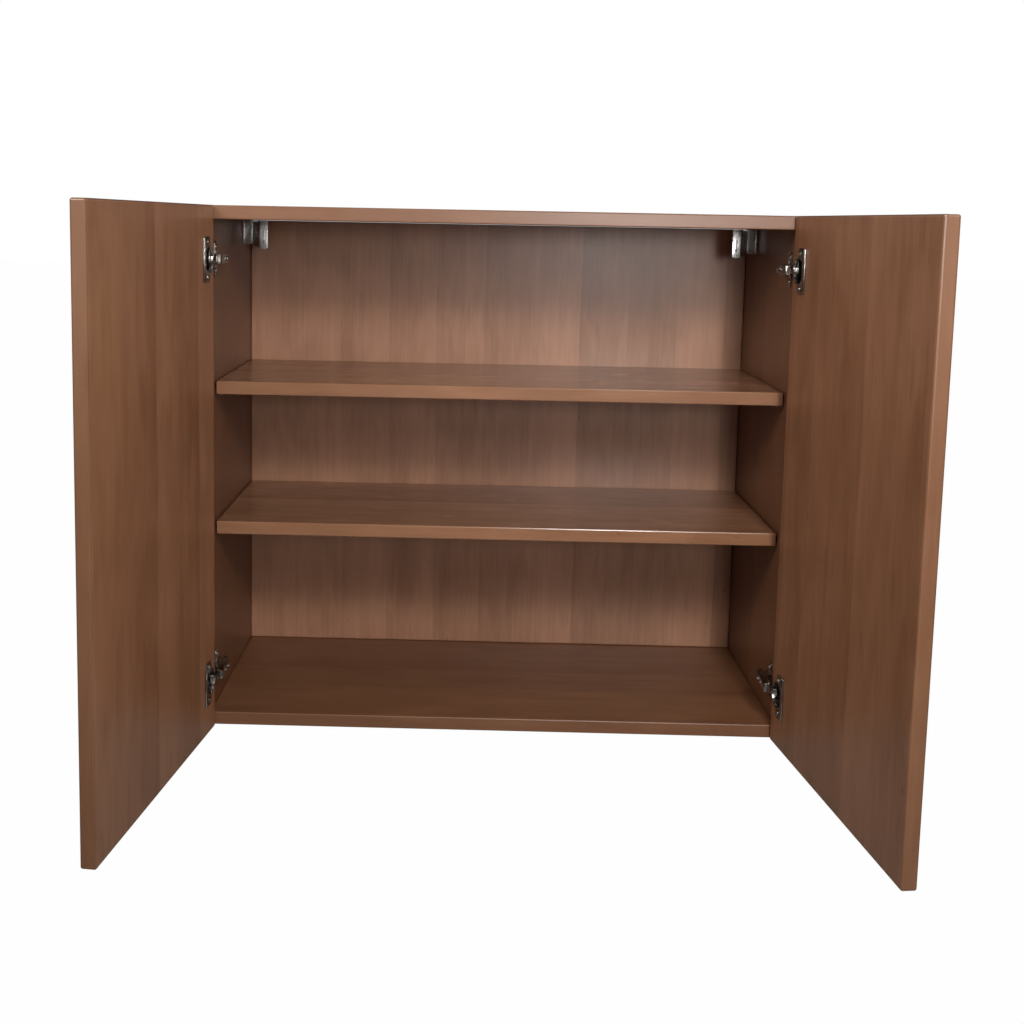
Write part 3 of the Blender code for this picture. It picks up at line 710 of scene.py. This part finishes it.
def buildSky():  # soft room light, brighter from above; white where the camera sees it
    world = bpy.data.worlds.new("studio")
    world.use_nodes = True
    bpy.context.scene.world = world
    tree = world.node_tree
    back = tree.nodes["Background"]
    back.inputs["Strength"].default_value = skyLook["strength"]
    white = tree.nodes.new("ShaderNodeBackground")
    white.inputs["Color"].default_value = (1, 1, 1, 1)
    coords = tree.nodes.new("ShaderNodeTexCoord")
    split = tree.nodes.new("ShaderNodeSeparateXYZ")
    ramp = tree.nodes.new("ShaderNodeMapRange")
    for socket, value in (("From Min", -1), ("From Max", 1), ("To Min", skyLook["below"]),
                          ("To Max", skyLook["above"])):
        ramp.inputs[socket].default_value = value
    path = tree.nodes.new("ShaderNodeLightPath")
    mix = tree.nodes.new("ShaderNodeMixShader")
    tree.links.new(coords.outputs["Generated"], split.inputs[0])
    tree.links.new(split.outputs[2], ramp.inputs[0])
    tree.links.new(ramp.outputs[0], back.inputs["Color"])
    tree.links.new(path.outputs["Is Camera Ray"], mix.inputs[0])
    tree.links.new(back.outputs[0], mix.inputs[1])
    tree.links.new(white.outputs[0], mix.inputs[2])
    tree.links.new(mix.outputs[0], tree.nodes["World Output"].inputs["Surface"])


lamps = {
    "left": {"from": (-0.86, -1.19, 0.8), "to": (0.2, -0.45, 0.05), "size": 0.40, "watts": 6.6},
    "right": {"from": (0.86, -1.19, 0.8), "to": (-0.2, -0.45, 0.05), "size": 0.40, "watts": 2.1},
    "key": {"from": (0.47, -2.38, 1.26), "to": (0, -0.34, 0.1), "size": 0.36, "watts": 17.0},
    "front": {"from": (0.29, -1.68, 0.71), "to": (0, -0.34, 0.1), "size": 0.40, "watts": 4.4},
    "low": {"from": (0.5, -2.68, 0.44), "to": (0, -0.34, 0.1), "size": 0.40, "watts": 11.5},
    "behindLeft": {"from": (-2.2, 1.5, 1.4), "to": (0, -0.30, 0.0), "size": 1.20, "watts": 15.0},
    "behindRight": {"from": (2.2, 1.5, 1.4), "to": (0, -0.30, 0.0), "size": 1.20, "watts": 15.0},
    "overhead": {"from": (-0.3, -0.6, 1.0), "to": (0, -0.45, 0.0), "size": 0.40, "watts": 0.8},
}
panels = {  # wide soft screens that only show as reflections
    "screen": {"from": (0.0, -3.30, 0.55), "to": (0, -0.34, 0.10), "size": 1.90, "watts": 7.0},
    "screenLeft": {"from": (-1.65, -2.60, 0.35), "to": (0, -0.40, 0.10), "size": 0.80, "watts": 3.0},
    "screenRight": {"from": (1.65, -2.60, 0.35), "to": (0, -0.40, 0.10), "size": 0.80, "watts": 3.0},
}


def buildLamps():
    for name, look in {**lamps, **panels}.items():
        light = bpy.data.lights.new(name, "AREA")
        light.shape = "DISK"
        light.size = look["size"]
        light.energy = look["watts"]
        lamp = bpy.data.objects.new(name, light)
        lamp.location = look["from"]
        aim = Vector(look["to"]) - Vector(look["from"])
        lamp.rotation_euler = aim.to_track_quat("-Z", "Y").to_euler()
        lamp.visible_diffuse = name in lamps
        bpy.context.scene.collection.objects.link(lamp)


cameraLook = {
    "place": (-0.03844, -1.99762, 0.33014),
    "yaw": -0.80,
    "down": 6.859,
    "roll": 1.10,
    "lens": 44.86,
    "shift": (0.0579, -0.1304),
}


def buildCamera():
    look = cameraLook
    yaw, down, roll = (math.radians(look[key]) for key in ("yaw", "down", "roll"))
    ahead = Vector((math.sin(yaw) * math.cos(down), math.cos(yaw) * math.cos(down), -math.sin(down)))
    right = Vector((math.cos(yaw), -math.sin(yaw), 0))
    up = right.cross(ahead)
    rolledRight = math.cos(roll) * right + math.sin(roll) * up
    rolledUp = -math.sin(roll) * right + math.cos(roll) * up
    turn = Matrix((rolledRight, rolledUp, -ahead)).transposed().to_4x4()
    data = bpy.data.cameras.new("camera")
    data.lens, data.sensor_width = look["lens"], 36.0
    data.shift_x, data.shift_y = look["shift"]
    data.clip_start, data.clip_end = 0.05, 100.0
    camera = bpy.data.objects.new("camera", data)
    camera.matrix_world = Matrix.Translation(look["place"]) @ turn
    bpy.context.scene.collection.objects.link(camera)
    bpy.context.scene.camera = camera


buildCamera()
buildFloor()
buildSky()
buildLamps()
bpy.context.scene.view_settings.view_transform = "Standard"
print("set the stage")
